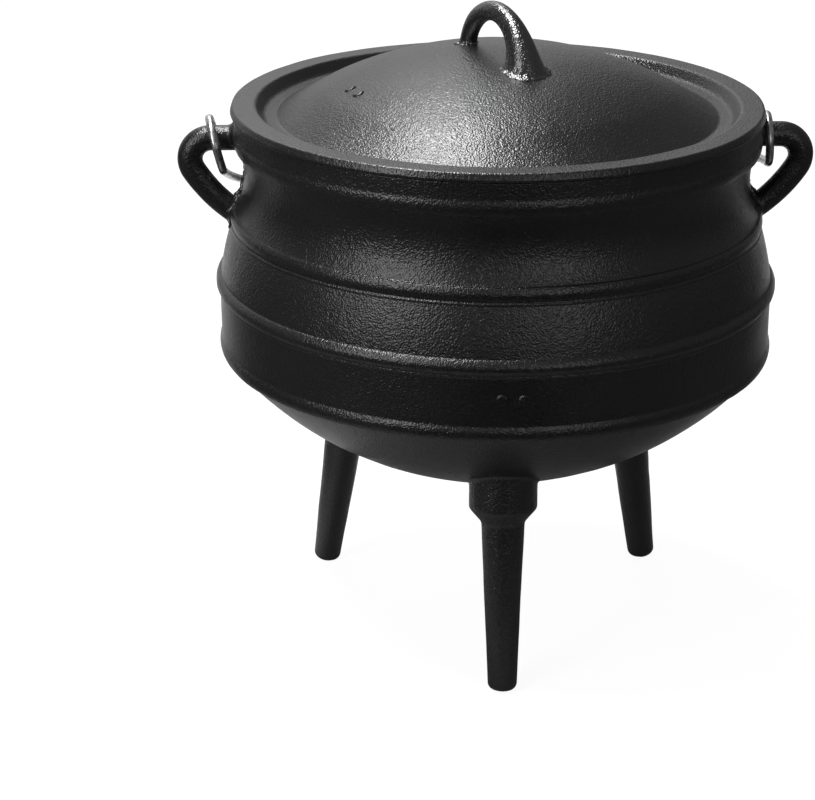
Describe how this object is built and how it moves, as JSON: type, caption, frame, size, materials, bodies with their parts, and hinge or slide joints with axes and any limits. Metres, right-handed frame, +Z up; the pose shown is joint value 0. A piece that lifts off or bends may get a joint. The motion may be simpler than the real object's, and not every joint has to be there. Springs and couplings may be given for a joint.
{
  "type": "potjie pot",
  "caption": "Round-bellied cast iron cooking pot on tapered legs, with a domed lid that lifts off, loop ears and a wire bail that swings over the lid.",
  "frame": {"origin": "on the floor under the pot's axis, in the middle of the three feet's circle", "axes": "+Z up along the pot's axis, +X towards the right ear along the line through both ears, -Y towards the single front leg"},
  "size_m": [0.3054, 0.272, 0.3128],
  "materials": {
    "iron": "sand cast, seasoned with oil",
    "zinc": "zinc plated wire"
  },
  "bodies": {
    "pot": {"pot_body": "iron", "leg_front": "iron", "leg_rear_right": "iron", "leg_rear_left": "iron", "ear_right": "iron", "ear_left": "iron"},
    "lid": {"lid": "iron", "lid_handle": "iron"},
    "bail": {"bail": "zinc"}
  },
  "joints": [
    {"name": "lid_lift", "type": "slide", "parent": "pot", "child": "lid", "axis": [0, 0, 1], "range_m": [0, 0.12]},
    {"name": "bail_swing", "type": "hinge", "parent": "pot", "child": "bail", "pos_m": [0, 0, 0.246], "axis": [1, 0, 0], "range_deg": [0, 206.5]}
  ]
}
